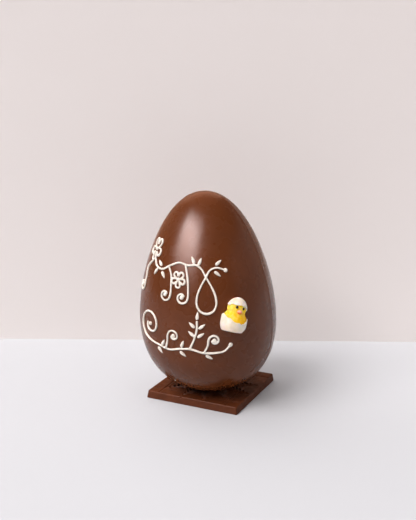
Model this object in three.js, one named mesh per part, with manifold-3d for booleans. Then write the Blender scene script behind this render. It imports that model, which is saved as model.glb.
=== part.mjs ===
// A moulded chocolate egg that stands on a square moulded chocolate plaque.
// Its front is piped with a white chocolate vine, and a sugar chick in a broken
// eggshell is stuck to the front right.
//
// Millimetres, +Z up. The origin is the middle of the plaque's underside. +X runs along the
// plaque's front edge to the right, and +Y runs to the back.
// Azimuths turn about +Z from the front (-Y) towards the right (+X).

import * as THREE from 'three';
import { mergeVertices } from 'three/addons/utils/BufferGeometryUtils.js';
import Module from 'manifold-3d';

const wasm = await Module();
wasm.setup();

const { lerp, smoothstep, mapLinear, clamp } = THREE.MathUtils;
const DEG = Math.PI / 180;

// ---------------------------------------------------------------- driving dimensions

const GAP = 0.3;                  // left between pieces that touch
const WELD_DISTANCE = 1e-4;       // corners closer than this are one corner

const EGG_HEIGHT = 202.3;
const EGG_RADIUS = 66.8;          // of the round form before taper and fullness
const EGG_TAPER = 0.247;          // how much narrower the top is than the bottom
const EGG_FULLNESS = 0.1;         // how blunt both ends are
const EGG_LEAN = -1.97 * DEG;     // the top leans a little to the left
const EGG_FOOT = { x: 1.6, y: -9.0 };   // where the egg's axis meets the plaque
const FOOT_FLAT = 0.3;            // height of the flat melted onto the bottom
const EGG_COLUMNS = 48;
const EGG_ROWS = 30;

const SEAM_AZIMUTH = 91 * DEG;    // the two half shells meet in this plane
const SEAM_HALF_WIDTH = 1.5;
const SEAM_RIDGE = 0.32;
const SEAM_GROOVE = 0.2;
const SEAM_GROOVE_SHARE = 0.2;    // of the seam's half width
const SEAM_FADE = { from: 8, to: 25 };  // radii over which the relief grows from nothing
const SEAM_COLUMNS = 2;           // columns of corners on each side that shape the seam

const PLAQUE_WIDTH = 100;
const PLAQUE_DEPTH = 101;
const PLAQUE_THICKNESS = 7.6;
const PLAQUE_DRAFT = 1.1;         // the top edge stands in from the bottom edge by this
const PLAQUE_ARRIS = 0.6;
const PLAQUE_CORNER = 1.6;
const LINE_INSET = 14;            // of the moulded lines from the plaque's edges
const LINE_WIDTH = 1.5;
const LINE_DEPTH = 0.8;
const FROND_PAIR_ANGLE = 15 * DEG;      // each frond stands off its side's middle by this
const FROND_ROOT = 21;            // distances of a frond's ends from the plaque's middle
const FROND_TIP = 48.5;
const FROND_FIRST_CHEVRON = 28.5;
const FROND_HALF_WIDTH = 5.4;
const FROND_ROOT_SHARE = 0.18;    // of the leaf's outline that is cut off at the root
const CHEVRONS_PER_FROND = 5;
const CHEVRON_SWEEP = 0.9;        // how far its arms run back for each millimetre out
const RIB_WIDTH = 1.3;
const RIB_HEIGHT = 0.7;

const STROKE_RADIUS = 0.95;       // the piped line is half sunk in the egg
const STROKE_SIDES = 6;
const STROKE_STEP = 3.4;
const STROKE_LIFT = 0.25;
const BLOB_RADIUS = 1.8;          // where a stroke starts or ends
const LEAF_LENGTH = 8;
const LEAF_WIDTH = 2.8;
const PIPING_AZIMUTH = -6 * DEG;  // the middle of the piping
const PIPING_GIRTH = 67;          // radius that turns a distance along the egg into an angle

const CHICK_AZIMUTH = 46 * DEG;
const CHICK_HEIGHT = 96.5;        // above the plaque
const CHICK_ROLL = -15 * DEG;     // it leans to the right
const CHICK_AXIS_DEPTH = 3.6;     // of its upright axis, out from the egg

// ---------------------------------------------------------------- materials

const milkChocolate = new THREE.MeshStandardMaterial({ color: 0x5a3524, roughness: 0.32, metalness: 0 });
const plaqueChocolate = new THREE.MeshStandardMaterial({ color: 0x5c3724, roughness: 0.42, metalness: 0 });
const sugarShell = new THREE.MeshStandardMaterial({ color: 0xf4e8d6, roughness: 0.6, metalness: 0 });
const sugarYellow = new THREE.MeshStandardMaterial({ color: 0xf7d336, roughness: 0.65, metalness: 0 });
const sugarPink = new THREE.MeshStandardMaterial({ color: 0xe88a62, roughness: 0.6, metalness: 0 });
const sugarDark = new THREE.MeshStandardMaterial({ color: 0x2a141c, roughness: 0.4, metalness: 0 });

// ---------------------------------------------------------------- solids

// Gives a copy of a closed geometry in which triangles share their corners.
function weld(geometry) {
  const bare = geometry.clone();
  bare.deleteAttribute('normal');
  bare.deleteAttribute('uv');
  const welded = mergeVertices(bare, WELD_DISTANCE);
  const corners = welded.getIndex().array;
  const kept = [];
  for (let i = 0; i < corners.length; i += 3) {
    const [a, b, c] = corners.slice(i, i + 3);
    if (a !== b && b !== c && c !== a) kept.push(a, b, c);
  }
  welded.setIndex(kept);
  return welded;
}

function solidFrom(geometry) {
  const welded = weld(geometry);
  return new wasm.Manifold(new wasm.Mesh({
    numProp: 3,
    vertProperties: new Float32Array(welded.getAttribute('position').array),
    triVerts: new Uint32Array(welded.getIndex().array),
  }));
}

function geometryFrom(solid) {
  const mesh = solid.getMesh();
  const geometry = new THREE.BufferGeometry();
  geometry.setAttribute('position', new THREE.BufferAttribute(mesh.vertProperties, 3));
  geometry.setIndex(new THREE.BufferAttribute(mesh.triVerts, 1));
  geometry.computeVertexNormals();
  return geometry;
}

function joined(geometries) {
  return geometries.map(solidFrom).reduce((whole, piece) => whole.add(piece));
}

function namedMesh(name, geometry, material) {
  const mesh = new THREE.Mesh(geometry, material);
  mesh.name = name;
  return mesh;
}

// Moves each corner of a geometry by a function of its place and its number.
function reshape(geometry, move) {
  const position = geometry.getAttribute('position');
  const point = new THREE.Vector3();
  for (let i = 0; i < position.count; i += 1) {
    point.fromBufferAttribute(position, i);
    move(point, i);
    position.setXYZ(i, point.x, point.y, point.z);
  }
  return geometry;
}

// ---------------------------------------------------------------- the egg's form

// The egg's radius at a height above its bottom.
function eggRadiusAt(height) {
  const cosine = clamp(2 * height / EGG_HEIGHT - 1, -1, 1);
  const sine = Math.sqrt(1 - cosine * cosine);
  return EGG_RADIUS * sine * (1 - EGG_TAPER * cosine + EGG_FULLNESS * cosine * cosine);
}

// Leans a point of the upright egg and stands it on the plaque.
function settle(point) {
  point.x += EGG_FOOT.x + point.z * Math.tan(EGG_LEAN);
  point.y += EGG_FOOT.y;
  point.z += PLAQUE_THICKNESS;
  return point;
}

function eggPoint(azimuth, height) {
  const radius = eggRadiusAt(height);
  return settle(new THREE.Vector3(radius * Math.sin(azimuth), -radius * Math.cos(azimuth), height));
}

// A point of the egg's surface, with the directions right, up and out from it.
function eggFrame(azimuth, height) {
  const [smallTurn, smallRise] = [0.001, 0.1];
  const origin = eggPoint(azimuth, height);
  const right = eggPoint(azimuth + smallTurn, height).sub(origin).normalize();
  const rising = eggPoint(azimuth, height + smallRise).sub(origin);
  const out = new THREE.Vector3().crossVectors(right, rising).normalize();
  const up = new THREE.Vector3().crossVectors(out, right);
  return { origin, right, up, out };
}

// How far the seam stands out of the egg, at a distance along the surface from the seam's plane.
function seamRelief(distance) {
  const across = Math.abs(distance) / SEAM_HALF_WIDTH;
  if (across >= 1) return 0;
  return across < SEAM_GROOVE_SHARE ? -SEAM_GROOVE : SEAM_RIDGE * Math.sin(Math.PI * across);
}

// Azimuths of the egg's columns. They stand close together at the seam.
function columnAzimuth(column) {
  const quarter = EGG_COLUMNS / 4;
  const near = SEAM_HALF_WIDTH / PIPING_GIRTH;
  const side = Math.round(column / (2 * quarter));
  const fromSeam = column - side * 2 * quarter;
  const steps = Math.abs(fromSeam);
  const spread = steps <= SEAM_COLUMNS
    ? near * steps / SEAM_COLUMNS
    : near + (Math.PI / 2 - near) * (steps - SEAM_COLUMNS) / (quarter - SEAM_COLUMNS);
  return SEAM_AZIMUTH + side * Math.PI + Math.sign(fromSeam) * spread;
}

// The egg's outline from its flat foot to its top, as (radius, height).
function eggProfile() {
  const profile = [];
  for (let row = 0; row <= EGG_ROWS; row += 1) {
    const height = EGG_HEIGHT / 2 * (1 - Math.cos(Math.PI * row / EGG_ROWS));
    profile.push(new THREE.Vector2(eggRadiusAt(height), height));
  }
  const footRow = profile.findIndex((point) => point.y > FOOT_FLAT);
  const foot = [new THREE.Vector2(0, FOOT_FLAT), new THREE.Vector2(eggRadiusAt(FOOT_FLAT), FOOT_FLAT)];
  profile.splice(0, footRow, ...foot);
  return profile;
}

// The egg as a turned solid. Growing it gives a cutter for what touches it.
function eggSolid(grow = 0) {
  const profile = eggProfile();
  const body = new THREE.LatheGeometry(profile, EGG_COLUMNS);
  reshape(body, (point, i) => {
    const { x: radius, y: height } = profile[i % profile.length];
    const azimuth = columnAzimuth(Math.floor(i / profile.length));
    const fromSeam = Math.asin(Math.sin(azimuth - SEAM_AZIMUTH)) * PIPING_GIRTH;
    const relief = seamRelief(fromSeam) * smoothstep(radius, SEAM_FADE.from, SEAM_FADE.to);
    const onAxis = radius < WELD_DISTANCE;
    const reach = onAxis ? 0 : radius + relief + grow;
    settle(point.set(reach * Math.sin(azimuth), -reach * Math.cos(azimuth), height));
  });
  return solidFrom(body);
}

// ---------------------------------------------------------------- the piped vine

// The vine is drawn in (across, height): millimetres along the egg's girth from the middle
// of the piping, and millimetres up from the egg's bottom.

function pipingFrame([across, height]) {
  return eggFrame(PIPING_AZIMUTH + across / PIPING_GIRTH, height);
}

function pipingPoint(place) {
  const { origin, out } = pipingFrame(place);
  return origin.addScaledVector(out, STROKE_LIFT);
}

function strokeGeometry(points) {
  const path = new THREE.CatmullRomCurve3(points.map(pipingPoint));
  const round = new THREE.EllipseCurve(0, 0, STROKE_RADIUS, STROKE_RADIUS);
  return new THREE.ExtrudeGeometry(new THREE.Shape(round.getPoints(STROKE_SIDES)), {
    steps: Math.round(path.getLength() / STROKE_STEP),
    extrudePath: path,
    bevelEnabled: false,
  });
}

function blobGeometry(place) {
  const centre = pipingPoint(place);
  return new THREE.SphereGeometry(BLOB_RADIUS, 7, 4).translate(centre.x, centre.y, centre.z);
}

// A leaf is a pressed drop that tapers to both ends, laid at an angle from upright.
function leafGeometry(place, angle) {
  const leaf = new THREE.SphereGeometry(1, 6, 4).scale(LEAF_WIDTH / 2, LEAF_LENGTH / 2, LEAF_WIDTH / 2);
  const { origin, right, up, out } = pipingFrame(place);
  return leaf.rotateZ(-angle).applyMatrix4(new THREE.Matrix4().makeBasis(right, up, out).setPosition(origin));
}

// Points along a line that a function of the share from 0 to 1 draws.
function drawn(count, pointAt) {
  return Array.from({ length: count + 1 }, (_, i) => pointAt(i / count));
}

// A spiral that starts on its outer radius and winds in. Sense 1 turns anticlockwise.
function curl([across, height], { outer, inner, from, turns, sense }) {
  const pointsPerTurn = 9;
  return drawn(Math.ceil(turns * pointsPerTurn), (share) => {
    const radius = lerp(outer, inner, share);
    const angle = from + sense * turns * 2 * Math.PI * share;
    return [across + radius * Math.cos(angle), height + radius * Math.sin(angle)];
  });
}

// A drop-shaped loop that hangs from its point, down the right side and up the left.
function drop([across, top], width, length) {
  const widest = 4 / Math.sqrt(27);   // the greatest value of sin(turn) sin(turn / 2)
  return drawn(12, (share) => {
    const turn = 2 * Math.PI * share;
    const side = Math.sin(turn) * Math.sin(turn / 2) / widest;
    return [across + width / 2 * side, top - length / 2 * (1 - Math.cos(turn))];
  });
}

// The outline of a flower with round petals, drawn in one line.
function flower({ place: [across, height], radius }) {
  const petals = 5;
  const notch = 0.38;                 // radius between petals, as a share of the flower's
  return drawn(petals * 5, (share) => {
    const angle = 2 * Math.PI * share;
    const petal = Math.sqrt(Math.abs(Math.sin(petals * angle / 2)));
    const reach = radius * lerp(notch, 1, petal);
    return [across + reach * Math.sin(angle), height + reach * Math.cos(angle)];
  });
}

// A crook hangs from the stem and curls up to the left, like a fern's tip.
function crook({ from, hook, radius }) {
  const [across, height] = hook;
  const stalk = [from, [across + radius - 1.2, height + 18], [across + radius, height + 9]];
  return [...stalk, ...curl(hook, { outer: radius, inner: 2.2, from: 0, turns: 0.95, sense: -1 })];
}

// A tendril rises from the stem and curls over to the right.
function tendril({ from, hook, radius }) {
  const [across, height] = hook;
  const stalk = [from, [across - radius - 0.6, height - 0.9 * radius]];
  return [...stalk, ...curl(hook, { outer: radius, inner: 2, from: Math.PI, turns: 1, sense: -1 })];
}

const CROOKS = [
  { from: [-37, 139.5], hook: [-51, 113], radius: 6 },
  { from: [-8, 138.5], hook: [-8, 112], radius: 6.3 },
  { from: [13, 141.5], hook: [11, 111.5], radius: 6.3 },
];
const TENDRILS = [
  { from: [-6, 60], hook: [3, 74], radius: 6 },
  { from: [32, 60], hook: [42, 72.5], radius: 5.5 },
];
const FLOWERS = [{ place: [-37, 150], radius: 10.5 }, { place: [6, 127.5], radius: 7.5 }];
const SNAIL_CENTRE = [-26, 80];
const SNAIL = { outer: 16.5, inner: 4, from: 1.5 * Math.PI, turns: 1.3, sense: -1 };
const UPPER_STEM = [[-33, 141], [-27, 135.5], [-17, 134], [-6, 139], [5, 142.5], [16, 141], [25, 141.5],
  [31, 138], ...drop([35.5, 131], 19, 33), [39.5, 137], [47, 139.5], [57, 137]];
const LOWER_STEM = [...curl(SNAIL_CENTRE, SNAIL).reverse(),
  [-14, 61.5], [-2, 59.5], [9, 62], [20, 63], [31, 60], [42, 60], [51, 61.5], [57, 67.5]];
const SPRIG_STEM = [[19, 63], [23, 72], [26, 82], [26.5, 91]];
const STROKES = [
  UPPER_STEM,
  LOWER_STEM,
  SPRIG_STEM,
  ...CROOKS.map(crook),
  ...TENDRILS.map(tendril),
  ...FLOWERS.map(flower),
];
const BLOBS = [
  UPPER_STEM.at(-1),
  LOWER_STEM.at(-1),
  SNAIL_CENTRE,
  ...[...CROOKS, ...TENDRILS].map(({ hook }) => hook),
  ...FLOWERS.map(({ place }) => place),
];
const LEAVES = [
  { place: [-22, 139], angle: -50 }, { place: [-14, 129], angle: 140 }, { place: [-27, 130], angle: -150 },
  { place: [21, 146], angle: -25 }, { place: [29, 145], angle: 20 }, { place: [48, 134], angle: 130 },
  { place: [50, 144], angle: 50 }, { place: [26.8, 96], angle: 4 }, { place: [20.8, 78.5], angle: -50 },
  { place: [29.8, 77.5], angle: 55 }, { place: [21.5, 87], angle: -48 }, { place: [31, 86], angle: 52 },
  { place: [-14, 56], angle: 140 }, { place: [-9, 65], angle: 30 }, { place: [12, 57], angle: 130 },
  { place: [12, 67.5], angle: 20 }, { place: [37, 55.5], angle: 120 },
];

function piping() {
  return [
    ...STROKES.map(strokeGeometry),
    ...BLOBS.map(blobGeometry),
    ...LEAVES.map(({ place, angle }) => leafGeometry(place, angle * DEG)),
  ];
}

function egg() {
  const solid = eggSolid().add(joined(piping()));
  return namedMesh('egg', geometryFrom(solid), milkChocolate);
}

// ---------------------------------------------------------------- the plaque

function roundedRectangle(width, depth, radius) {
  const shape = new THREE.Shape();
  const [x, y] = [width / 2 - radius, depth / 2 - radius];
  shape.absarc(x, y, radius, 0, Math.PI / 2);
  shape.absarc(-x, y, radius, Math.PI / 2, Math.PI);
  shape.absarc(-x, -y, radius, Math.PI, 1.5 * Math.PI);
  shape.absarc(x, -y, radius, 1.5 * Math.PI, 2 * Math.PI);
  return shape;
}

// The slab narrows to the top by the mould's draft, and its top arris is rounded off.
function plaqueSlab() {
  const [top, half] = [PLAQUE_THICKNESS, PLAQUE_ARRIS / 2];
  const levels = [0, top - 4 * half, top - half, top];
  const insets = [0, PLAQUE_DRAFT - 2 * half, PLAQUE_DRAFT - half, PLAQUE_DRAFT];
  const steps = levels.length - 1;
  const slab = new THREE.ExtrudeGeometry(roundedRectangle(PLAQUE_WIDTH, PLAQUE_DEPTH, PLAQUE_CORNER), {
    depth: steps, steps, curveSegments: 3, bevelEnabled: false,
  });
  return reshape(slab, (point) => {
    const level = Math.round(point.z);
    point.x *= 1 - insets[level] / (PLAQUE_WIDTH / 2);
    point.y *= 1 - insets[level] / (PLAQUE_DEPTH / 2);
    point.z = levels[level];
  });
}

// A cutter for a V-shaped groove that runs right across the plaque, parallel to Y at this X.
function lineCutter(x) {
  const above = 1;                    // the cutter stands out of the plaque by this all round
  const half = LINE_WIDTH / 2 * (1 + above / LINE_DEPTH);
  const section = new THREE.Shape([
    new THREE.Vector2(-half, above),
    new THREE.Vector2(0, -LINE_DEPTH),
    new THREE.Vector2(half, above),
  ]);
  const length = PLAQUE_DEPTH + 2 * above;
  const cutter = new THREE.ExtrudeGeometry(section, { depth: length, bevelEnabled: false });
  return cutter.translate(0, 0, -length / 2).rotateX(Math.PI / 2).translate(x, 0, PLAQUE_THICKNESS);
}

// The half width of a frond at a distance from the plaque's middle.
function frondHalfWidth(reach) {
  const along = mapLinear(reach, FROND_ROOT, FROND_TIP, FROND_ROOT_SHARE, 1);
  return FROND_HALF_WIDTH * Math.sin(Math.PI * along) + RIB_WIDTH;
}

// One raised chevron, its point outwards along +X.
function chevronGeometry(reach) {
  const half = frondHalfWidth(reach);
  const armLength = Math.hypot(1, CHEVRON_SWEEP);   // of an arm that runs 1 mm out
  const tail = { x: reach - CHEVRON_SWEEP * half, y: half };
  const inner = { x: tail.x - RIB_WIDTH / armLength, y: tail.y - RIB_WIDTH * CHEVRON_SWEEP / armLength };
  const outline = new THREE.Shape([
    new THREE.Vector2(reach, 0),
    new THREE.Vector2(tail.x, tail.y),
    new THREE.Vector2(inner.x, inner.y),
    new THREE.Vector2(reach - RIB_WIDTH * armLength, 0),
    new THREE.Vector2(inner.x, -inner.y),
    new THREE.Vector2(tail.x, -tail.y),
  ]);
  return new THREE.ExtrudeGeometry(outline, { depth: 2 * RIB_HEIGHT, bevelEnabled: false });
}

// One frond of chevrons that points away from the plaque's middle at an angle from +X.
function frond(direction) {
  return drawn(CHEVRONS_PER_FROND - 1, (share) => {
    const reach = lerp(FROND_FIRST_CHEVRON, FROND_TIP, share);
    return chevronGeometry(reach).rotateZ(direction).translate(0, 0, PLAQUE_THICKNESS - RIB_HEIGHT);
  });
}

// Lines near the four edges, and a pair of fronds towards each.
function plaqueBase() {
  let solid = solidFrom(plaqueSlab());
  for (let side = 0; side < 4; side += 1) {
    const facing = side * Math.PI / 2;
    const edge = (side % 2 ? PLAQUE_DEPTH : PLAQUE_WIDTH) / 2;
    const pair = [...frond(facing - FROND_PAIR_ANGLE), ...frond(facing + FROND_PAIR_ANGLE)];
    solid = solid.subtract(solidFrom(lineCutter(edge - LINE_INSET).rotateZ(facing))).add(joined(pair));
  }
  return namedMesh('plaque', geometryFrom(solid), plaqueChocolate);
}

// ---------------------------------------------------------------- the sugar chick

// The chick is modelled in its own frame: X to the right as seen from the front, Y up,
// Z out from the egg. Its upright axis stands CHICK_AXIS_DEPTH out from the egg's surface.

const BODY = { centre: [0.2, -4], radii: [10.8, 10.8, 10.4] };
const HEAD = { centre: [0.8, 6.3], radii: [9, 9.5, 9] };
const HEAD_TILT = -6 * DEG;                 // the head leans to the right of the body
const WING = { centre: [9.9, -3.4], radii: [1.8, 3.2, 3] };

// The cup is round, and its sides stand straight above a rounded foot. Its broken rim is
// (degrees round from the front, height), joined by straight lines.
const CUP = { base: -15.6, baseRadius: 9.4, footRise: 5.3, radius: 12.6 };
const CUP_FOOT_RINGS = [0.2, 0.45, 0.7];    // shares of the foot's rise
const CUP_RIM = [[-180, -4], [-115, -2], [-68, 0.4], [-52, -2.8], [-42, -3.1], [-24, -5.8], [-2, -7],
  [10, -6.7], [20, -8.4], [30, -7], [38, -7.6], [48, -5.4], [58, -5.8], [76, -1.8], [115, -4], [180, -4]];

// The cap is a dome on the head, and its heights are above the head's centre.
const CAP = { thickness: 1, top: 10.9 };
const CAP_RINGS = [0.45, 0.62, 0.8];        // shares of the turn from rim to top
const CAP_RIM = [[-180, 1], [-110, 2], [-80, 0.6], [-58, 3], [-36, 2.9], [-16, 3], [0, 4.1],
  [14, 3.7], [26, 2.8], [38, 2.4], [52, 1], [66, 1.4], [80, 0], [115, 1.5], [180, 1]];

const EYE_RADIUS = 1.2;
const EYE_TURN = 20.5 * DEG;                // of each eye about the head's upright axis
const EYE_HEIGHT = 1.2;                     // above the head's centre
const BEAK_RADII = [2.6, 1.8, 2.4];
const BEAK_DROP = 2.7;                      // below the head's centre

function ellipsoid([x, y], radii, grow, columns = 20, rows = 12) {
  const geometry = new THREE.SphereGeometry(1, columns, rows);
  geometry.scale(radii[0] + grow, radii[1] + grow, radii[2] + grow);
  return geometry.translate(x, y, CHICK_AXIS_DEPTH);
}

// Body, head and two wings in one.
function flesh(grow = 0) {
  const [wingOut, wingUp] = WING.centre;
  return joined([
    ellipsoid(BODY.centre, BODY.radii, grow),
    ellipsoid(HEAD.centre, HEAD.radii, grow),
    ellipsoid([wingOut, wingUp], WING.radii, grow, 10, 6),
    ellipsoid([-wingOut, wingUp], WING.radii, grow, 10, 6),
  ]);
}

function heightOnRim(rim, degrees) {
  const after = Math.max(1, rim.findIndex(([angle]) => angle >= degrees));
  const [[a, low], [b, high]] = [rim[after - 1], rim[after]];
  return mapLinear(degrees, a, b, low, high);
}

// Turns a profile about the upright axis, and lets one of its rings follow a broken rim.
function brokenShell(profile, rimRing, rim, columns) {
  const points = profile.map(([radius, height]) => new THREE.Vector2(radius, height));
  const shell = new THREE.LatheGeometry(points, columns);
  return reshape(shell, (point, i) => {
    if (i % points.length !== rimRing) return;
    point.y = heightOnRim(rim, Math.atan2(point.x, point.z) / DEG);
  });
}

function cupBlank() {
  const profile = [[0, CUP.base], [CUP.baseRadius, CUP.base]];
  for (const share of CUP_FOOT_RINGS) {
    const radius = lerp(CUP.baseRadius, CUP.radius, Math.sin(share * Math.PI / 2));
    profile.push([radius, CUP.base + CUP.footRise * share]);
  }
  profile.push([CUP.radius, 0], [0, BODY.centre[1]]);
  return brokenShell(profile, profile.length - 2, CUP_RIM, 36).translate(0, 0, CHICK_AXIS_DEPTH);
}

// Tilts what is modelled about the head's centre, and sets it there.
function placeOnHead(geometry) {
  return geometry.rotateZ(HEAD_TILT).translate(...HEAD.centre, CHICK_AXIS_DEPTH);
}

function capBlank() {
  const radius = HEAD.radii[0] + CAP.thickness;
  const profile = [[0, 0], [radius, 0]];
  for (const share of CAP_RINGS) {
    profile.push([radius * Math.cos(share * Math.PI / 2), CAP.top * Math.sin(share * Math.PI / 2)]);
  }
  profile.push([0, CAP.top]);
  return placeOnHead(brokenShell(profile, 1, CAP_RIM, 30));
}

// How far the head reaches from its upright axis at a height above its centre.
function headReach(height) {
  return HEAD.radii[2] * Math.sqrt(1 - (height / HEAD.radii[1]) ** 2);
}

function eyeGeometry(turn) {
  const reach = headReach(EYE_HEIGHT);
  const eye = new THREE.SphereGeometry(EYE_RADIUS, 10, 6);
  return placeOnHead(eye.translate(reach * Math.sin(turn), EYE_HEIGHT, reach * Math.cos(turn)));
}

function beakGeometry() {
  const beak = new THREE.SphereGeometry(1, 12, 8).scale(...BEAK_RADII);
  return placeOnHead(beak.translate(0, -BEAK_DROP, headReach(BEAK_DROP)));
}

function chickFrame() {
  const { origin, right, up, out } = eggFrame(CHICK_AZIMUTH, CHICK_HEIGHT);
  const frame = new THREE.Matrix4().makeBasis(right, up, out).setPosition(origin);
  return frame.multiply(new THREE.Matrix4().makeRotationZ(CHICK_ROLL));
}

function chick() {
  const group = new THREE.Group();
  const frame = chickFrame();
  frame.decompose(group.position, group.quaternion, group.scale);

  const toChick = frame.clone().invert();
  const eggCutter = solidFrom(geometryFrom(eggSolid(GAP)).applyMatrix4(toChick));
  const fleshCutter = flesh(GAP);
  const offEgg = (solid) => geometryFrom(solid.subtract(eggCutter));
  const offFlesh = (geometry) => solidFrom(geometry).subtract(fleshCutter);

  group.add(
    namedMesh('chick_body', offEgg(flesh()), sugarYellow),
    namedMesh('chick_shell_cup', offEgg(offFlesh(cupBlank())), sugarShell),
    namedMesh('chick_shell_cap', offEgg(offFlesh(capBlank())), sugarShell),
    namedMesh('chick_beak', geometryFrom(offFlesh(beakGeometry())), sugarPink),
    namedMesh('chick_eye_left', geometryFrom(offFlesh(eyeGeometry(-EYE_TURN))), sugarDark),
    namedMesh('chick_eye_right', geometryFrom(offFlesh(eyeGeometry(EYE_TURN))), sugarDark),
  );
  return group;
}

// ---------------------------------------------------------------- the whole

const chocolateEgg = new THREE.Group();
chocolateEgg.add(plaqueBase(), egg(), chick());

export default chocolateEgg;
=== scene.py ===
# %% [markdown]
# # A chocolate egg on a chocolate plaque
#
# This lesson dresses a large moulded chocolate egg. It stands on a square moulded plaque,
# it is piped with a white chocolate vine, and a sugar chick in a broken eggshell is stuck
# to its front right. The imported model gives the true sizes, and each piece is modelled here
# again with the soft edges, melted joins and small faults that real chocolate has.

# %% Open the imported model
import math
import random

import bmesh
import bpy
from mathutils import Matrix, Vector


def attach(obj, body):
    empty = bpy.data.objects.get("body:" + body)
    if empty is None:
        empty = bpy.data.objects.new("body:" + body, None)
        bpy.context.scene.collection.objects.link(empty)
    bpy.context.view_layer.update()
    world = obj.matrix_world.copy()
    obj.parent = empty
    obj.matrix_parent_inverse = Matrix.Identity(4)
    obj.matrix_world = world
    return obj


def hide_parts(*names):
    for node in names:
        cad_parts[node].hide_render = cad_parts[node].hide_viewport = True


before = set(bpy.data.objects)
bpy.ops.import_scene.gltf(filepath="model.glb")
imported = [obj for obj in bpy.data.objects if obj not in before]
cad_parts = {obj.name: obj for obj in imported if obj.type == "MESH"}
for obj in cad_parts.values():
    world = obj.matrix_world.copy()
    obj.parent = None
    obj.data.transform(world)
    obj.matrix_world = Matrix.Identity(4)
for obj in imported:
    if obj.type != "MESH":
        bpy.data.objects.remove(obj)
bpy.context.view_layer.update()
MM = 0.001
HAIR = 0.01 * MM  # places nearer than this count as the same place
print("CAD nodes:", sorted(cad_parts))

# %% [markdown]
# Everything is modelled in metres, and lengths are written in millimetres times MM. The
# helpers below do what a hand does in edit mode: open a piece with nothing selected, pick
# the corners, edges or faces that pass a test of place or direction, and close it again.


# %% Helpers for modelling by hand
def only(piece):
    bpy.ops.object.select_all(action="DESELECT")
    piece.select_set(True)
    bpy.context.view_layer.objects.active = piece


def start(name):
    """Names the primitive that was just added, and opens it with nothing selected."""
    piece = bpy.context.object
    piece.name = piece.data.name = name
    open_piece(piece)
    return piece


def open_piece(piece):
    only(piece)
    bpy.ops.object.mode_set(mode="EDIT")
    bpy.ops.mesh.select_all(action="DESELECT")


def close_piece():
    bpy.ops.object.mode_set(mode="OBJECT")


def pick(piece, kind, test):
    """Selects the corners, edges or faces of an open piece that pass the test, and no others."""
    bpy.ops.mesh.select_mode(type={"verts": "VERT", "edges": "EDGE", "faces": "FACE"}[kind])
    bpy.ops.mesh.select_all(action="DESELECT")
    mesh = bmesh.from_edit_mesh(piece.data)
    for part in getattr(mesh, kind):
        if test(part):
            part.select_set(True)
    mesh.select_flush_mode()
    bmesh.update_edit_mesh(piece.data)


def pick_all():
    bpy.ops.mesh.select_all(action="SELECT")


def stretch(by, middle=(0, 0, 0)):
    """Scales what is selected along X, Y and Z, about a middle."""
    bpy.ops.transform.resize(value=by, center_override=middle)


def squashed_ball(name, segments, rings, radius, by):
    """A ball that is stretched along X, Y and Z, open and with all of it selected."""
    bpy.ops.mesh.primitive_uv_sphere_add(segments=segments, ring_count=rings, radius=radius)
    piece = start(name)
    pick_all()
    stretch(by)
    return piece


def finish_with(piece, kind, **settings):
    """Adds a modifier, sets it and applies it."""
    only(piece)
    modifier = piece.modifiers.new(kind.title(), kind)
    for name, value in settings.items():
        setattr(modifier, name, value)
    bpy.ops.object.modifier_apply(modifier=modifier.name)


def settle_place(piece, matrix):
    """Moves a piece by a matrix and writes the move into its mesh."""
    only(piece)
    piece.matrix_world = matrix @ piece.matrix_world
    bpy.ops.object.transform_apply(location=True, rotation=True, scale=True)


def copy_of(piece):
    """A copy with a mesh of its own."""
    twin = piece.copy()
    twin.data = piece.data.copy()
    bpy.context.collection.objects.link(twin)
    return twin


def join(pieces):
    """Joins pieces into the first one."""
    only(pieces[0])
    for piece in pieces:
        piece.select_set(True)
    bpy.ops.object.join()
    return pieces[0]


def cut_out(piece, cutter):
    """Takes a cutter's space out of a piece, and removes the cutter."""
    finish_with(piece, "BOOLEAN", object=cutter, operation="DIFFERENCE", solver="EXACT")
    bpy.data.objects.remove(cutter)


def melt(piece, voxel, rounds):
    """Fuses what overlaps into one skin and softens it, as melting does."""
    finish_with(piece, "REMESH", mode="VOXEL", voxel_size=voxel, use_smooth_shade=True)
    finish_with(piece, "SMOOTH", factor=0.5, iterations=rounds)


def ripple(piece, name, size, depth):
    """Moves a skin in and out by smooth noise with features of about this size."""
    noise = bpy.data.textures.new(name, type="CLOUDS")
    noise.noise_scale = size
    noise.noise_depth = 1
    settings = {"texture_coords": "LOCAL", "mid_level": 0.5}
    finish_with(piece, "DISPLACE", texture=noise, strength=depth, **settings)


def report(piece):
    low = [min(v.co[i] for v in piece.data.vertices) / MM for i in range(3)]
    high = [max(v.co[i] for v in piece.data.vertices) / MM for i in range(3)]
    count = sum(len(face.vertices) - 2 for face in piece.data.polygons)
    spans = ", ".join(f"{a:.1f} to {b:.1f}" for a, b in zip(low, high))
    print(f"{piece.name}: {count} triangles, {spans} mm")


# %% [markdown]
# ## The camera
#
# The camera looks slightly down on the front of the egg, from its right. It is set by its
# place and by three directions, which are where its back, right and top point.

# %% Place the camera
CAMERA_PLACE = (0.357407, -0.780227, 0.357683)
CAMERA_AZIMUTH = math.radians(24.965)
CAMERA_ELEVATION = math.radians(14.325)
CAMERA_ROLL = math.radians(0.48)
SENSOR_WIDTH, LENS = 36, 60.94  # mm

bpy.ops.object.camera_add()
camera = bpy.context.object
camera.data.sensor_width = SENSOR_WIDTH
camera.data.lens = LENS


def direction(azimuth, elevation):
    """A unit vector: azimuth turns from the front towards the right, elevation rises."""
    level = math.cos(elevation)
    return Vector((math.sin(azimuth) * level, -math.cos(azimuth) * level, math.sin(elevation)))


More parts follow.
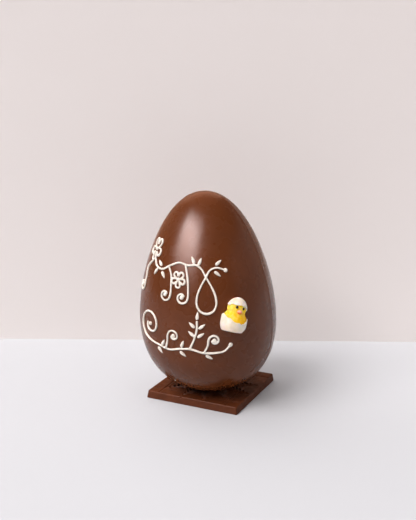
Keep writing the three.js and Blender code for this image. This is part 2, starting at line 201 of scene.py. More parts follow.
back = direction(CAMERA_AZIMUTH, CAMERA_ELEVATION)
right = Vector((math.cos(CAMERA_AZIMUTH), math.sin(CAMERA_AZIMUTH), 0))
facing = Matrix((right, back.cross(right), back)).transposed()
camera.matrix_world = Matrix.LocRotScale(
    CAMERA_PLACE, facing @ Matrix.Rotation(CAMERA_ROLL, 3, "Z"), None
)
bpy.context.scene.camera = camera
print("camera at", CAMERA_PLACE)

# %% [markdown]
# ## Floor, backdrop and light
#
# Dark glossy chocolate shows the room more than it shows itself, so what lights the egg and
# what shines in it are set apart. The window, the sky and the ceiling only light. The three
# gleams only shine: one inside the other they draw the tall soft highlight on the left
# front. The room lights are the dim parts of the room that the egg's edges and underside
# reflect, and the one on the right lights it a little too. The pale wall is left out of
# reflections, or it would outline the egg in white, and it can be seen through from behind,
# so that the egg shows from all sides.

# %% Build the floor and the wall
bpy.context.scene.view_settings.view_transform = "Standard"

FLOOR_REACH = 1.5
WALL_DISTANCE = 0.15
WALL_WIDTH = 0.8
WALL_HEIGHT = 0.9


def stage_plane(name, matrix, width, height):
    bpy.ops.mesh.primitive_plane_add(size=1)
    plane = start(name)
    pick_all()
    stretch((width, height, 1))
    close_piece()
    settle_place(plane, matrix)
    return plane


floor = stage_plane("floor", Matrix.Identity(4), 2 * FLOOR_REACH, 2 * FLOOR_REACH)
away = direction(CAMERA_AZIMUTH + math.pi, 0)
standing = Matrix((right, Vector((0, 0, 1)), -away)).transposed().to_4x4()
wall_middle = away * WALL_DISTANCE + Vector((0, 0, WALL_HEIGHT / 2))
wall_place = Matrix.Translation(wall_middle) @ standing
wall = stage_plane("backdrop", wall_place, WALL_WIDTH, WALL_HEIGHT)
wall.visible_glossy = wall.visible_shadow = False
print("wall stands", WALL_DISTANCE, "m behind the middle of the plaque")

# %% Light the room
LIGHT_TARGET = Vector((0, 0, 0.12))
PALE = (1.0, 0.92, 0.92)
ROOM_GLOW = 0.07
LIGHTS = [
    # name, azimuth, elevation, distance, width, height, radiance, colour, shines, lights
    ("window", -28, 48, 8, 4.9, 4.9, 9.7, PALE, False, True),
    ("sky_left", -115, 45, 6, 7.2, 4.8, 1.85, PALE, False, True),
    ("sky_right", 75, 35, 6, 6, 4, 0.7, (1.0, 0.86, 0.84), False, True),
    ("ceiling", -70, 78, 4, 5.5, 5.5, 0.85, PALE, False, True),
    ("gleam_wide", -25, 43.5, 8, 6.63, 6.46, 9.0, PALE, True, False),
    ("gleam_middle", -20, 39.5, 3, 2.07, 1.61, 9.0, PALE, True, False),
    ("gleam_bright", -30, 47, 3, 1.75, 0.9, 8.5, PALE, True, False),
    ("room_front", 20, 6, 1.6, 2.2, 0.35, 0.4, PALE, True, False),
    ("room_right", 106, 12, 0.8, 0.95, 0.62, 0.5, PALE, True, True),
    ("room_back", 162, 12, 0.8, 0.8, 0.62, 0.5, (1.0, 0.72, 0.6), True, False),
    ("room_left", -128, 12, 0.8, 1.3, 0.62, 0.4, (1.0, 0.58, 0.38), True, False),
    ("room_high", -147, 45, 0.8, 0.75, 0.47, 1.2, (1.0, 0.58, 0.42), True, False),
]


def soft_light(name, azimuth, elevation, distance, width, height, radiance, colour, shines, lights):
    """A soft rectangular light that faces the egg, as bright at any size."""
    bpy.ops.object.light_add(type="AREA")
    light = bpy.context.object
    light.name = light.data.name = name
    towards = direction(math.radians(azimuth), math.radians(elevation))
    light.location = LIGHT_TARGET + towards * distance
    light.rotation_mode = "QUATERNION"
    light.rotation_quaternion = (-towards).to_track_quat("-Z", "Y")
    light.data.shape = "RECTANGLE"
    light.data.size = width
    light.data.size_y = height
    light.data.energy = radiance * math.pi * width * height
    light.data.color = colour
    light.visible_camera = False
    light.visible_glossy = shines
    light.visible_diffuse = lights


for row in LIGHTS:
    soft_light(*row)

world = bpy.data.worlds.new("studio")
bpy.context.scene.world = world
world.use_nodes = True
backdrop_glow = world.node_tree.nodes["Background"]
backdrop_glow.inputs["Color"].default_value = (*PALE, 1)
backdrop_glow.inputs["Strength"].default_value = ROOM_GLOW
print("lights:", [row[0] for row in LIGHTS])

# %% [markdown]
# ## The form of the egg
#
# The egg is a sphere that was stretched upwards, narrowed at the top and blunted at both
# ends. One formula gives its radius at each height. The same formula places the vine and
# the chick on its skin, so that they sit on it exactly.

# %% Define the egg's form
EGG_HEIGHT = 202.3 * MM
EGG_RADIUS = 66.8 * MM
EGG_TAPER = 0.247
EGG_FULLNESS = 0.1
EGG_LEAN = math.tan(math.radians(-1.97))
PLAQUE_THICKNESS = 7.6 * MM
EGG_FOOT = Vector((1.6 * MM, -9.0 * MM, PLAQUE_THICKNESS))
SMALL_TURN, SMALL_RISE = 0.001, 0.1 * MM  # steps over which the skin's slope is taken


def egg_taper_at(height):
    """How much wider or narrower the egg is than a plain stretched sphere."""
    cosine = 2 * height / EGG_HEIGHT - 1
    return 1 - EGG_TAPER * cosine + EGG_FULLNESS * cosine * cosine


def egg_radius_at(height):
    cosine = max(-1, min(1, 2 * height / EGG_HEIGHT - 1))
    return EGG_RADIUS * math.sqrt(1 - cosine * cosine) * egg_taper_at(height)


def egg_point(azimuth, height):
    """A point of the skin, at an azimuth and a height above the egg's bottom."""
    level = direction(azimuth, 0) * egg_radius_at(height)
    return EGG_FOOT + level + Vector((height * EGG_LEAN, 0, height))


def egg_frame(azimuth, height):
    """The place of a point of the skin, as a matrix: X to the right, Y into the egg, Z up."""
    place = egg_point(azimuth, height)
    across = (egg_point(azimuth + SMALL_TURN, height) - place).normalized()
    rising = egg_point(azimuth, height + SMALL_RISE) - place
    out = across.cross(rising).normalized()
    turn = Matrix((across, -out, out.cross(across))).transposed()
    return Matrix.LocRotScale(place, turn, None)


widest = max(egg_radius_at(EGG_HEIGHT * share / 100) for share in range(101))
print("widest egg radius:", round(widest / MM, 2), "mm")

# %% [markdown]
# ## The egg's shell
#
# The real shell is cast in two halves that are melted together, so a faint raised line with
# a crease runs round it at its sides. A sphere with many rings is stretched, and each ring
# is then widened or narrowed by the formula. The seam is a bevelled line of edges whose
# middle is pushed in and whose sides are pulled out. Sculpting could do this too, but rings
# keep the outline exact.

# %% Shape the egg from a sphere
EGG_COLUMNS = 64
EGG_RINGS = 40
SEAM_AZIMUTH = math.radians(91)
SEAM_HALF_WIDTH = 1.5 * MM
SEAM_FADE_RADIUS = 15 * MM

bpy.ops.mesh.primitive_uv_sphere_add(
    segments=EGG_COLUMNS, ring_count=EGG_RINGS, radius=EGG_RADIUS
)
shell = start("egg_shell")
pick_all()
bpy.ops.transform.rotate(
    value=-(SEAM_AZIMUTH - math.pi / 2), orient_axis="Z", center_override=(0, 0, 0)
)
stretch((1, 1, EGG_HEIGHT / 2 / EGG_RADIUS))
bpy.ops.transform.translate(value=(0, 0, EGG_HEIGHT / 2))


def ring_heights(piece):
    mesh = bmesh.from_edit_mesh(piece.data)
    return sorted({round(v.co.z, 7) for v in mesh.verts})


def pick_ring(piece, height):
    pick(piece, "verts", lambda v: abs(v.co.z - height) < 1e-6)


for height in ring_heights(shell):
    pick_ring(shell, height)
    taper = egg_taper_at(height)
    stretch((taper, taper, 1), (0, 0, height))
close_piece()
report(shell)

# %% Raise the seam
SEAM_RIDGE = 0.42 * MM
SEAM_CREASE = 0.3 * MM
SEAM_SEGMENTS = 4
SEAM_BANDS = [  # from and to, in mm from the seam's plane, and how far that band moves
    (0.3, 1.2, SEAM_RIDGE),
    (0, 0.3, -SEAM_CREASE),
]
seam_line = direction(SEAM_AZIMUTH, 0)
across_seam = direction(SEAM_AZIMUTH + math.pi / 2, 0)


def from_seam(place):
    """The distance of a place from the seam's plane."""
    return abs(place.dot(across_seam))


def off_the_poles(place, radius=SEAM_FADE_RADIUS):
    return abs(place.dot(seam_line)) > radius


def on_seam(edge):
    ends = [v.co for v in edge.verts]
    return all(off_the_poles(end) and from_seam(end) < 5 * HAIR for end in ends)


def in_band(corner):
    near = nearest * MM < from_seam(corner.co) + HAIR < farthest * MM
    return near and off_the_poles(corner.co, SEAM_FADE_RADIUS + 2 * MM)


open_piece(shell)
pick(shell, "edges", on_seam)
bpy.ops.mesh.bevel(offset=SEAM_HALF_WIDTH, segments=SEAM_SEGMENTS, affect="EDGES")
for nearest, farthest, lift in SEAM_BANDS:
    pick(shell, "verts", in_band)
    chosen = sum(v.select for v in bmesh.from_edit_mesh(shell.data).verts)
    bpy.ops.transform.shrink_fatten(value=lift)
    print("seam corners moved by", round(lift / MM, 2), "mm:", chosen)

for height in ring_heights(shell):
    pick_ring(shell, height)
    bpy.ops.transform.translate(value=(height * EGG_LEAN, 0, 0))
close_piece()
finish_with(shell, "SUBSURF", levels=2, render_levels=2)
report(shell)

# %% [markdown]
# The bottom is melted flat on a hot plate before the egg is stood up, and a little soft
# chocolate squeezes out where it meets the plaque. The egg is cut level just above its
# bottom, and the cut face is drawn down and widened into that small foot. Very low ripples
# then break up the highlight, as they do on a real shell.

# %% Melt the foot onto the plaque
FOOT_FLAT = 0.3 * MM
FOOT_FLARE = 1.35
FOOT_STEP = 0.2 * MM
SHELL_RIPPLE = (34 * MM, 0.16 * MM)  # size and depth

open_piece(shell)
pick_all()
bpy.ops.mesh.bisect(
    plane_co=(0, 0, FOOT_FLAT), plane_no=(0, 0, 1), use_fill=True, clear_inner=True
)
cut_level = FOOT_FLAT + HAIR
pick(shell, "faces", lambda f: f.normal.z < -0.9 and f.calc_center_median().z < cut_level)
for _ in range(2):
    bpy.ops.mesh.extrude_region_move(TRANSFORM_OT_translate={"value": (0, 0, -FOOT_STEP)})
stretch((FOOT_FLARE, FOOT_FLARE, 1))
close_piece()
settle_place(shell, Matrix.Translation(EGG_FOOT))
ripple(shell, "shell_ripples", *SHELL_RIPPLE)
only(shell)
bpy.ops.object.shade_smooth()
report(shell)

# %% [markdown]
# ## The piped vine
#
# White chocolate is piped from a paper cone: a soft round line that swells where the hand
# slows, ends in a dot, and climbs over the lines below it. The vine is drawn flat, as
# millimetres across the front and up the egg, and each point is then carried onto the skin.
# Curves with a round bevel give the line its body and its changing width.

# %% Draw the parts of the vine
PIPING_AZIMUTH = math.radians(-6)
PIPING_GIRTH = 67 * MM  # radius of the egg where the drawing is true to width
CURL_STEPS = 9  # points on one turn of a curl
DROP_STEPS = 12
PETALS = 5
PETAL_NOTCH = 0.38  # where the petals meet, as a share of the flower's radius
FLOWER_STEPS = 25
CROOK_LENGTH, CROOK_EYE, CROOK_TURNS = 18, 2.2, 0.95
TENDRIL_RISE, TENDRIL_EYE = 0.9, 2


def points(*pairs):
    return [Vector(pair) for pair in pairs]


def round_the(centre, radius, angle):
    return Vector(centre) + Vector((math.cos(angle), math.sin(angle))) * radius


def curl(centre, outer, inner, angle, turns, sense):
    """A spiral that winds in from its outer radius. Sense 1 turns anticlockwise."""
    count = math.ceil(turns * CURL_STEPS)
    return [
        round_the(
            centre,
            outer + (inner - outer) * i / count,
            angle + sense * turns * 2 * math.pi * i / count,
        )
        for i in range(count + 1)
    ]


def drop(top, width, length):
    """A drop-shaped loop that hangs from its point, down the right side and up the left."""
    widest = 4 / math.sqrt(27)
    line = []
    for i in range(DROP_STEPS + 1):
        t = 2 * math.pi * i / DROP_STEPS
        aside = width / 2 * math.sin(t) * math.sin(t / 2) / widest
        line.append(Vector(top) + Vector((aside, -length / 2 * (1 - math.cos(t)))))
    return line


def flower(centre, radius):
    """The outline of a flower with round petals, drawn in one line."""
    line = []
    for i in range(FLOWER_STEPS + 1):
        angle = 2 * math.pi * i / FLOWER_STEPS
        petal = math.sqrt(abs(math.sin(PETALS / 2 * angle)))
        reach = radius * (PETAL_NOTCH + (1 - PETAL_NOTCH) * petal)
        line.append(round_the(centre, reach, math.pi / 2 - angle))
    return line


def crook(root, hook, radius):
    """It hangs from the stem and curls up to the left, like a fern's tip."""
    across, height = hook
    bend = (across + radius - 1.2, height + CROOK_LENGTH)
    stalk = points(root, bend, (across + radius, height + CROOK_LENGTH / 2))
    return stalk + curl(hook, radius, CROOK_EYE, 0, CROOK_TURNS, -1)


def tendril(root, hook, radius):
    """It rises from the stem and curls over to the right."""
    across, height = hook
    stalk = points(root, (across - radius - 0.6, height - TENDRIL_RISE * radius))
    return stalk + curl(hook, radius, TENDRIL_EYE, math.pi, 1, -1)


# Crooks and tendrils: the root on the stem, the middle of the hook, and its radius.
CROOKS = [
    ((-37, 139.5), (-51, 113), 6),
    ((-8, 138.5), (-8, 112), 6.3),
    ((13, 141.5), (11, 111.5), 6.3),
]
TENDRILS = [((-6, 60), (3, 74), 6), ((32, 60), (42, 72.5), 5.5)]
FLOWERS = [((-37, 150), 10.5), ((6, 127.5), 7.5)]
SNAIL_CENTRE = (-26, 80)
UPPER_STEM = [
    (-33, 141), (-27, 135.5), (-17, 134), (-6, 139), (5, 142.5), (16, 141), (25, 141.5), (31, 138),
]
LOWER_STEM = [
    (-14, 61.5), (-2, 59.5), (9, 62), (20, 63), (31, 60), (42, 60), (51, 61.5), (57, 67.5),
]
upper_stem = points(*UPPER_STEM) + drop((35.5, 131), width=19, length=33)
upper_stem += points((39.5, 137), (47, 139.5), (57, 137))
snail = curl(SNAIL_CENTRE, outer=16.5, inner=4, angle=1.5 * math.pi, turns=1.3, sense=-1)
lower_stem = snail[::-1] + points(*LOWER_STEM)
sprig_stem = points((19, 63), (23, 72), (26, 82), (26.5, 91))
strokes = [upper_stem, lower_stem, sprig_stem]
strokes += [crook(*hook) for hook in CROOKS] + [tendril(*hook) for hook in TENDRILS]
strokes += [flower(*bloom) for bloom in FLOWERS]
print(len(strokes), "strokes with", sum(map(len, strokes)), "points")

# %% [markdown]
# A smooth line through the drawn points is cut into short steps. Where it comes close to a
# line that was piped before it, it is lifted over that line. Slow seeded noise then makes
# the line thicker and thinner, as the pressure of a hand does.

# %% Carry the strokes onto the egg
STEP = 1.2  # mm between points of a finished stroke
STROKE_RADIUS = 1.02 * MM
STROKE_LIFT = 0.4  # mm that the line's middle stands above the skin
CLIMB = 0.95  # mm that a line rises to cross another
CLIMB_REACH = 2.3  # mm from the other line where the climb starts
CLIMB_BOOST = 1.3  # makes up for what the smoothing takes off
PRESSURES = (0.86, 1.12)  # least and greatest share of a line's width
PRESSURE_STEPS = 6  # points from one pressure to the next
piping_hand = random.Random(11)


def smooth_line(corners, step):
    """Points about a step apart on a smooth line through the corners."""
    ends = [2 * corners[0] - corners[1], *corners, 2 * corners[-1] - corners[-2]]
    line = []
    for a, b, c, d in zip(ends, ends[1:], ends[2:], ends[3:]):
        k1 = math.sqrt((b - a).length)
        k2 = k1 + math.sqrt((c - b).length)
        k3 = k2 + math.sqrt((d - c).length)
        count = max(1, round((c - b).length / step))
        for i in range(count):
            t = k1 + (k2 - k1) * i / count
            here = (t - k1) / (k2 - k1)
            ab, bc, cd = a.lerp(b, t / k1), b.lerp(c, here), c.lerp(d, (t - k2) / (k3 - k2))
            line.append(ab.lerp(bc, t / k2).lerp(bc.lerp(cd, (t - k1) / (k3 - k1)), here))
    return line + [corners[-1]]


def climbs(line, laid):
    """How far each point of a line is lifted over what was laid before it."""
    own_gap = math.ceil(3 * CLIMB_REACH / STEP)
    lifts = []
    for i, place in enumerate(line):
        others = laid + line[: max(0, i - own_gap)]
        nearest = min(((place - other).length for other in others), default=CLIMB_REACH)
        near = max(0, 1 - nearest / CLIMB_REACH)
        lifts.append(CLIMB * near * near * (3 - 2 * near) * CLIMB_BOOST)
    last = len(lifts) - 1
    return [
        sum(lifts[max(0, min(last, i + k))] for k in (-2, -1, 0, 1, 2)) / 5 for i in range(last + 1)
    ]


def pressures(count):
    """Slow changes of a line's width, as shares of it."""
    step = PRESSURE_STEPS
    knots = [piping_hand.uniform(*PRESSURES) for _ in range(count // step + 3)]
    return [
        knots[i // step] + (knots[i // step + 1] - knots[i // step]) * (i % step) / step
        for i in range(count)
    ]


def on_egg(place, lift):
    """A point of the drawing, carried onto the egg at a lift in millimetres."""
    matrix = egg_frame(PIPING_AZIMUTH + place.x * MM / PIPING_GIRTH, place.y * MM)
    return matrix @ Vector((0, -lift * MM, 0))


def piped_line(name, line, lifts):
    """A round line through points of the drawing."""
    curve = bpy.data.curves.new(name, "CURVE")
    curve.dimensions = "3D"
    curve.bevel_depth = STROKE_RADIUS
    curve.bevel_resolution = 3
    curve.resolution_u = 3
    curve.use_fill_caps = True
    spline = curve.splines.new("BEZIER")
    spline.bezier_points.add(len(line) - 1)
    widths = pressures(len(line))
    for knot, place, lift, width in zip(spline.bezier_points, line, lifts, widths):
        knot.co = on_egg(place, STROKE_LIFT + lift)
        knot.handle_left_type = knot.handle_right_type = "AUTO"
        knot.radius = width
    piece = bpy.data.objects.new(name, curve)
    bpy.context.collection.objects.link(piece)
    return piece


laid = []
vine_pieces = []
for number, stroke in enumerate(strokes):
    line = smooth_line(stroke, STEP)
    vine_pieces.append(piped_line(f"stroke_{number}", line, climbs(line, laid)))
    laid += line
print("piped line:", round(len(laid) * STEP), "mm")

# %% [markdown]
# Each end of a stroke and each middle of a curl has a dot, where the cone rested. A leaf is
# a short press that was pulled away to a point. One dot and one leaf are modelled, and
# copies of them are laid on the skin.

# %% Add the dots and leaves
DOT_RADIUS = 2.05 * MM
DOT_FLATNESS = 0.72
LEAF_HALF_LENGTH = 4.0 * MM
LEAF_HALF_WIDTH = 1.45 * MM
LEAF_TAPER = 0.45  # how much narrower the leaf's tip is than its middle
LEAF_FLATNESS = 0.85
DOT_LIFT, LEAF_LIFT, STRAY_LIFT = 0.35, 0.3, 0.1  # mm above the skin
STRAY_DROP = (-13.0, 19.8)  # a speck that fell from the cone
STRAY_SIZE = 0.36  # as a share of a dot
DOTS = [upper_stem[-1], lower_stem[-1], Vector(SNAIL_CENTRE)]
DOTS += [Vector(hook) for _, hook, _ in CROOKS + TENDRILS]
DOTS += [Vector(centre) for centre, _ in FLOWERS]
LEAVES = [  # across, height, and the angle from upright
    (-22, 139, -50), (-14, 129, 140), (-27, 130, -150), (21, 146, -25), (29, 145, 20),
    (48, 134, 130), (50, 144, 50), (26.8, 96, 4), (20.8, 78.5, -50), (29.8, 77.5, 55),
    (21.5, 87, -48), (31, 86, 52), (-14, 56, 140), (-9, 65, 30), (12, 57, 130), (12, 67.5, 20),
    (37, 55.5, 120),
]

dot = squashed_ball("dot", 20, 12, DOT_RADIUS, (1, DOT_FLATNESS, 1))
close_piece()

bpy.ops.mesh.primitive_uv_sphere_add(segments=16, ring_count=16, radius=LEAF_HALF_LENGTH)
leaf = start("leaf")
for height in ring_heights(leaf):
    pick_ring(leaf, height)
    along = height / LEAF_HALF_LENGTH
    width = LEAF_HALF_WIDTH / LEAF_HALF_LENGTH * (1 - LEAF_TAPER * along)
    stretch((width, LEAF_FLATNESS * width, 1), (0, 0, height))
close_piece()


def lay(pattern, across, height, angle, lift, size=1):
    """Lays a copy on the egg, turned by an angle in degrees from upright."""
    twin = copy_of(pattern)
    place = egg_frame(PIPING_AZIMUTH + across * MM / PIPING_GIRTH, height * MM)
    turn = Matrix.Rotation(math.radians(angle), 4, "Y") @ Matrix.Scale(size, 4)
    settle_place(twin, place @ Matrix.Translation((0, -lift * MM, 0)) @ turn)
    vine_pieces.append(twin)


for place in DOTS:
    lay(dot, place.x, place.y, 0, DOT_LIFT)
for across, height, angle in LEAVES:
    lay(leaf, across, height, angle, LEAF_LIFT)
lay(dot, *STRAY_DROP, 0, STRAY_LIFT, STRAY_SIZE)
for pattern in (dot, leaf):
    bpy.data.objects.remove(pattern)
print(len(DOTS), "dots and", len(LEAVES), "leaves")

# %% [markdown]
# The strokes, dots and leaves were all wet at once, so they run into each other where they
# touch. A fine voxel remesh fuses them into one skin, and smoothing rounds the fillets.

# %% Fuse the vine
PIPING_VOXEL = 0.34 * MM

only(vine_pieces[0])
for piece in vine_pieces:
    piece.select_set(True)
bpy.ops.object.convert(target="MESH")
piping = join(vine_pieces)
piping.name = piping.data.name = "egg_piping"
melt(piping, PIPING_VOXEL, rounds=5)
report(piping)

# %% [markdown]
# ## The plaque
#
# The plaque is cast in an open mould: its sides slope, its corners and upper edge are soft,
# and its upper face has lines near the edges and a ring of fronds. A cube becomes the slab,
# and a voxel remesh gives it an even, fine skin that the relief can then be pressed into.

# %% Cast the slab
PLAQUE_WIDTH, PLAQUE_DEPTH = 100, 101  # mm, as are all lengths of the plaque below
PLAQUE_DRAFT = 1.1
PLAQUE_CORNER = 1.6
PLAQUE_ARRIS = 0.7
PLAQUE_VOXEL = 0.36
top = PLAQUE_THICKNESS

bpy.ops.mesh.primitive_cube_add(size=1, location=(0, 0, top / 2))
plaque = start("plaque_cast")
pick_all()
stretch((PLAQUE_WIDTH * MM, PLAQUE_DEPTH * MM, top), (0, 0, top / 2))
close_piece()
settle_place(plaque, Matrix.Identity(4))
open_piece(plaque)
pick(plaque, "faces", lambda f: f.normal.z > 0.9)
drawn_in = [1 - 2 * PLAQUE_DRAFT / size for size in (PLAQUE_WIDTH, PLAQUE_DEPTH)]
stretch((*drawn_in, 1), (0, 0, top))
pick(plaque, "edges", lambda e: abs(e.verts[0].co.z - e.verts[1].co.z) > top / 2)
bpy.ops.mesh.bevel(offset=PLAQUE_CORNER * MM, segments=4, affect="EDGES")
pick(plaque, "edges", lambda e: all(v.co.z > top - HAIR for v in e.verts))
bpy.ops.mesh.bevel(offset=PLAQUE_ARRIS * MM, segments=3, affect="EDGES")
close_piece()
melt(plaque, PLAQUE_VOXEL * MM, rounds=1)
report(plaque)

# %% [markdown]
# The relief is painted as weights from 0 to 1, which a Displace modifier turns into depth.
# A frond is a row of raised chevrons that point outwards, with a groove between each two.
# All fronds are alike, so each place is first turned into the frame of its nearest frond.
# Cutting each groove with a boolean would also work, but it is slow and gives hard corners.

# %% Draw the relief
FROND_COUNT = 12
FROND_ROOT, FROND_TIP, FIRST_CHEVRON = 20, 48.5, 27
FROND_HALF_WIDTH = 6.6
FROND_ROOT_SHARE = 0.18
FROND_EDGE = 0.7
CHEVRON_COUNT = 6
CHEVRON_SWEEP = 0.9
RIB_SHARE = 0.46  # of the distance from one chevron to the next
RIB_HEIGHT, GROOVE_DEPTH = 0.85, 1.0
LINE_REACH, LINE_WIDTH, LINE_DEPTH = 36.8, 1.7, 0.8
FRAME_REACH, FRAME_WIDTH, FRAME_DEPTH = 33.2, 1.3, 0.6
FACE_LEVEL = top / MM - 0.2  # what lies above this belongs to the upper face
PLAQUE_RIPPLE = (14 * MM, 0.22 * MM)
PLAQUE_THINNING = 0.4  # the share of the fine skin's triangles that is kept
BUBBLES = [  # x, y, z and radius
    (-11.6, -50, 6.7, 1.15), (-20.5, -50, 6.2, 0.7), (23, -50.2, 2.2, 0.4), (49.6, 12, 5.2, 0.6),
    (49.8, -21, 2.6, 0.45), (-49.6, -8, 4.4, 0.7), (-20, 50, 5.1, 0.6), (31, 50.3, 3.2, 0.45),
    (40.5, -39, 7.6, 0.55), (-38, 41, 7.6, 0.6), (-44, -31, 7.6, 0.45), (27, -45.5, 7.6, 0.45),
]


def frond_relief(place):
    """From -1 in the middle of a groove to 1 on the middle of a rib."""
    reach, turn = math.hypot(place.x, place.y), math.atan2(place.y, place.x)
    part = 2 * math.pi / FROND_COUNT
    aside = turn - (math.floor(turn / part) + 0.5) * part
    across = abs(reach * math.sin(aside))
    pitch = (FROND_TIP - FIRST_CHEVRON) / (CHEVRON_COUNT - 1)
    along = (reach * math.cos(aside) + CHEVRON_SWEEP * across - FIRST_CHEVRON) / pitch
    number = math.ceil(along)
    if not 0 <= number < CHEVRON_COUNT:
        return 0
    reached = FIRST_CHEVRON + pitch * number - FROND_ROOT
    share = FROND_ROOT_SHARE + (1 - FROND_ROOT_SHARE) * reached / (FROND_TIP - FROND_ROOT)
    half = FROND_HALF_WIDTH * math.sin(math.pi * share) + 2 * FROND_EDGE
    edge = max(0, min(1, (half - across) / FROND_EDGE))
    behind = number - along
    if behind < RIB_SHARE:
        return edge * math.sin(math.pi * behind / RIB_SHARE)
    return -edge * math.sin(math.pi * (behind - RIB_SHARE) / (1 - RIB_SHARE)) if number else 0


def line_depth(place):
    """The depth of the moulded lines at a place of the upper face."""
    x, y = abs(place.x), abs(place.y)
    long = LINE_DEPTH * (1 - 2 * min(abs(x - LINE_REACH), abs(y - LINE_REACH)) / LINE_WIDTH)
    framing = FRAME_DEPTH * (1 - 2 * abs(max(x, y) - FRAME_REACH) / FRAME_WIDTH)
    return max(0, long, framing)


def raised(place):
    return max(0, frond_relief(place)) if place.z > FACE_LEVEL else 0


def sunk(place):
    depth = 0
    if place.z > FACE_LEVEL:
        relief = frond_relief(place)
        depth = max(0, -relief) * GROOVE_DEPTH if relief else line_depth(place)
    for x, y, z, radius in BUBBLES:
        far = (place - Vector((x, y, z))).length / radius
        if far < 1:
            depth = max(depth, radius * math.sqrt(1 - far * far))
    return depth


print("relief from", -GROOVE_DEPTH, "to", RIB_HEIGHT, "mm")


# %% Press the relief into the slab
def press(piece, title, share_at, depth):
    """Moves a skin along its normals, by a depth times the share from 0 to 1 at each place."""
    group = piece.vertex_groups.new(name=title)
    for corner in piece.data.vertices:
        share = share_at(corner.co / MM)
        if share > 0:
            group.add([corner.index], share, "REPLACE")
    finish_with(piece, "DISPLACE", vertex_group=title, strength=depth * MM, mid_level=0)


press(plaque, "raised", raised, RIB_HEIGHT)
press(plaque, "sunk", sunk, -1)
plaque.vertex_groups.clear()
finish_with(plaque, "SMOOTH", factor=0.5, iterations=1)
ripple(plaque, "casting_ripples", *PLAQUE_RIPPLE)
finish_with(plaque, "DECIMATE", ratio=PLAQUE_THINNING)
report(plaque)

# %% [markdown]
# ## The sugar chick
#
# The chick is moulded sugar paste. It is modelled upright and facing the front, with its
# upright axis a little in front of the skin, and then carried onto the egg and rolled to
# the right. Body, head and wings are squashed balls that a remesh fuses into one skin.
# Soft noise gives it a fluffy surface.

# %% Model the chick's body
CHICK_DEPTH = -3.6 * MM  # its axis stands this far out of the egg, towards -Y
CHICK_VOXEL = 0.36 * MM
CHICK_SUNK = 1.6 * MM  # how deep the pieces run into the egg
CHICK_AZIMUTH, CHICK_ROLL = math.radians(46), math.radians(15)
CHICK_HEIGHT = 96.5 * MM  # of its middle, above the egg's bottom
HEAD_CENTRE = (0.8, 6.3)  # mm to the right of and above the chick's middle
HEAD_RADIUS, HEAD_HALF_HEIGHT = 9, 9.5
WING_REACH = 9.9
DOWN = (2.6 * MM, 0.5 * MM)  # size and depth of the fluff
chick_place = egg_frame(CHICK_AZIMUTH, CHICK_HEIGHT) @ Matrix.Rotation(CHICK_ROLL, 4, "Y")


def ball(name, centre, radii):
    """A squashed ball. Its centre is (right, up), and its radii are (right, front, up)."""
    piece = squashed_ball(name, 32, 20, MM, radii)
    bpy.ops.transform.translate(value=(centre[0] * MM, CHICK_DEPTH, centre[1] * MM))
    close_piece()
    return piece


def trim_to_egg(piece):
    """Cuts off what would lie deep inside the egg."""
    open_piece(piece)
    pick_all()
    bpy.ops.mesh.bisect(
        plane_co=(0, CHICK_SUNK, 0), plane_no=(0, 1, 0), use_fill=True, clear_outer=True
    )
    close_piece()


flesh = join([
    ball("chick_flesh", (0.2, -4), (10.8, 10.4, 10.8)),
    ball("head", HEAD_CENTRE, (HEAD_RADIUS, HEAD_RADIUS, HEAD_HALF_HEIGHT)),
    ball("breast", (0.1, -6.5), (11.7, 11.4, 6)),
    *[ball("wing", (side * WING_REACH, -3.4), (1.9, 5.5, 3.8)) for side in (1, -1)],
])
melt(flesh, CHICK_VOXEL, rounds=10)
ripple(flesh, "down", *DOWN)
trim_to_egg(flesh)
report(flesh)

# %% [markdown]
# The shell is broken, so its rim is jagged. A round solid is built ring by ring for the
# lower shell, and a dome for the cap. A block whose face follows the broken line then cuts
# each of them, which gives a clean break through its whole thickness.

# %% Make a cutter with a broken face
# Both rims are (degrees from the front towards the right, height in mm).
CUP_RIM = [
    (-180, -4), (-115, -2), (-95, -0.3), (-82, 0.3), (-54, -3.2), (-41, -2.9), (-22, -5.6),
    (-6, -6.5), (5, -6), (17, -7.6), (26, -6.2), (36, -6.3), (44, -4.4), (56, -4.2), (72, -1.4),
    (115, -4), (180, -4),
]
CAP_RIM = [
    (-180, 1), (-110, 2), (-80, 0.6), (-58, 3), (-36, 2.9), (-16, 3), (0, 4.1), (14, 3.7),
    (26, 2.8), (38, 2.4), (52, 1), (66, 1.4), (80, 0), (115, 1.5), (180, 1),
]
WALL_STEP = 1.0  # mm over which the cut steps back behind the wall
WALL_DROP = 3.0  # mm from the rim to the step's foot
BLOCK_RADIUS, BLOCK_DEPTH = 17, 20


def rim_height(rim, degrees):
    for (a, low), (b, high) in zip(rim, rim[1:]):
        if degrees <= b:
            return low + (high - low) * (degrees - a) / (b - a)
    return rim[-1][1]


